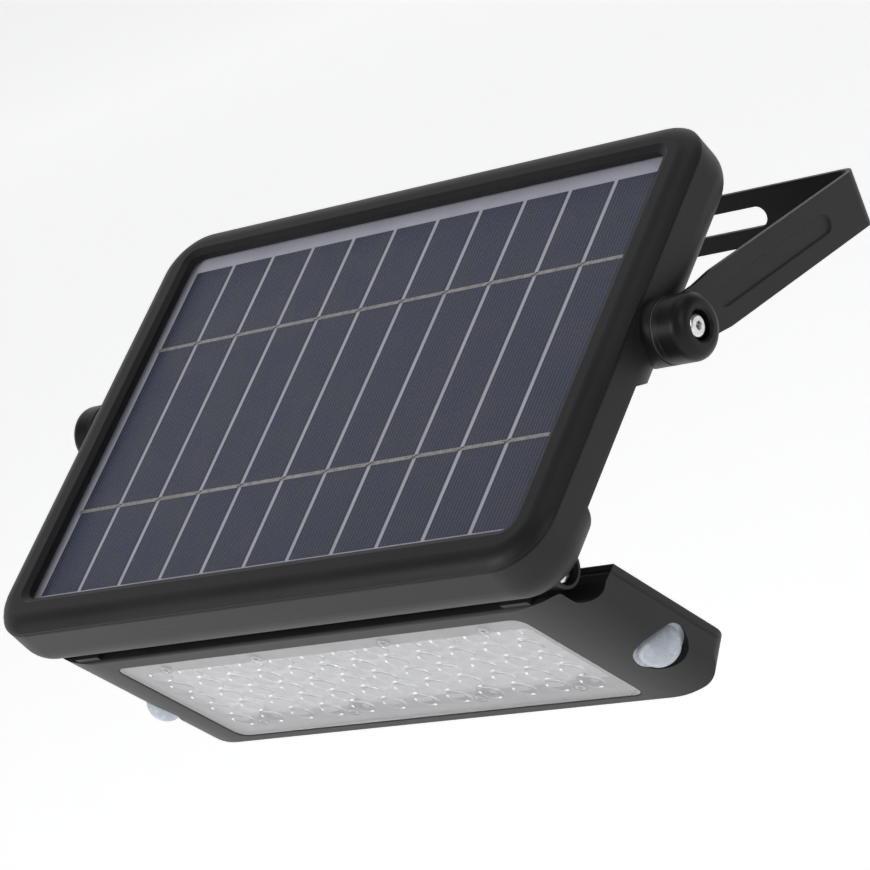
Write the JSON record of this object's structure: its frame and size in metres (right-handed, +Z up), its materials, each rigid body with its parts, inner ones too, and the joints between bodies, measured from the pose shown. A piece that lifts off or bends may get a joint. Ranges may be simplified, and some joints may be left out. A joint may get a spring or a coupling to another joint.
{
  "type": "solar flood light",
  "caption": "Wall-mounted solar flood light: a tilting solar panel casing on a U bracket, with a folding LED lamp head and two motion sensor domes.",
  "frame": {"origin": "centre of the bracket crossbar on the face that lies against the wall", "axes": "X across the light, +Y into the wall, +Z up; the light stands out from the wall towards -Y"},
  "size_m": [0.3048, 0.231, 0.1743],
  "materials": {
    "bracket_steel": "satin black powder coat on pressed steel strap",
    "casing_plastic": "satin charcoal moulded plastic with a fine spark-eroded grain",
    "head_plastic": "satin charcoal moulded plastic",
    "cover_plastic": "satin charcoal moulded plastic",
    "solar_glazing": "clear satin laminate film",
    "solar_cell": "dark blue polycrystalline silicon with silver fingers",
    "cell_ribbon": "tinned copper ribbon",
    "backing_sheet": "white laminate sheet",
    "seal_rubber": "black silicone",
    "fixing_steel": "zinc plated steel",
    "battery_wrap": "blue shrink sleeve",
    "inner_plastic": "black moulded plastic",
    "nickel": "nickel strip",
    "circuit_board": "green solder mask",
    "electronic_parts": "black moulded components",
    "button_rubber": "dark grey silicone",
    "knob_plastic": "satin black moulded plastic",
    "polished_steel": "bright stainless steel",
    "washer_fibre": "grey fibre washer",
    "lead_jacket": "black lead jacket",
    "clear_lens": "clear moulded polycarbonate",
    "lens_fixing": "small stainless screws",
    "reflector_white": "white moulded reflector",
    "led_board_white": "white solder mask on aluminium",
    "led_phosphor": "yellow phosphor over white package",
    "socket_plastic": "ivory connector housings",
    "dome_milky": "milky translucent polyethylene",
    "sensor_metal": "plated metal can with dark window"
  },
  "bodies": {
    "bracket": {"wall_bracket": "bracket_steel"},
    "panel": {"rear_housing": "casing_plastic", "front_bezel": "casing_plastic", "solar_cover": "solar_glazing", "solar_cells": "solar_cell", "cell_ribbons": "cell_ribbon", "backing_sheet": "backing_sheet", "window_gasket": "seal_rubber", "housing_screws": "fixing_steel", "battery_cells": "battery_wrap", "battery_cradle": "inner_plastic", "battery_tabs": "nickel", "control_board": "circuit_board", "board_parts": "electronic_parts", "button_switch": "electronic_parts", "tilt_knob_left": "knob_plastic", "tilt_knob_right": "knob_plastic", "pivot_screws": "polished_steel", "pivot_nuts": "fixing_steel", "friction_washers": "washer_fibre", "hinge_pins": "polished_steel", "panel_lead": "lead_jacket", "battery_lead": "lead_jacket", "solar_lead": "lead_jacket"},
    "lamp_head": {"lamp_housing": "head_plastic", "rear_cover": "cover_plastic", "cover_gasket": "seal_rubber", "cover_screws": "fixing_steel", "lens_plate": "clear_lens", "lens_screws": "lens_fixing", "reflector": "reflector_white", "led_board": "led_board_white", "led_chips": "led_phosphor", "board_sockets": "socket_plastic", "sensor_dome_left": "dome_milky", "sensor_dome_right": "dome_milky", "motion_sensor_left": "sensor_metal", "motion_sensor_right": "sensor_metal", "sensor_board_left": "circuit_board", "sensor_board_right": "circuit_board", "head_lead": "lead_jacket", "sensor_leads": "lead_jacket"},
    "button": {"mode_button": "button_rubber"}
  },
  "joints": [
    {"name": "panel_tilt", "type": "hinge", "parent": "bracket", "child": "panel", "pos_m": [0, -0.129, 0], "axis": [1, 0, 0], "range_deg": [-28, 61]},
    {"name": "head_fold", "type": "hinge", "parent": "panel", "child": "lamp_head", "pos_m": [0, -0.2062, -0.05107], "axis": [1, 0, 0], "range_deg": [-4, 76]},
    {"name": "button_press", "type": "slide", "parent": "panel", "child": "button", "axis": [0, -0.4756, 0.8796], "range_m": [0, 0.0008], "stiffness_N_per_m": 900, "springref_m": -0.0003}
  ]
}
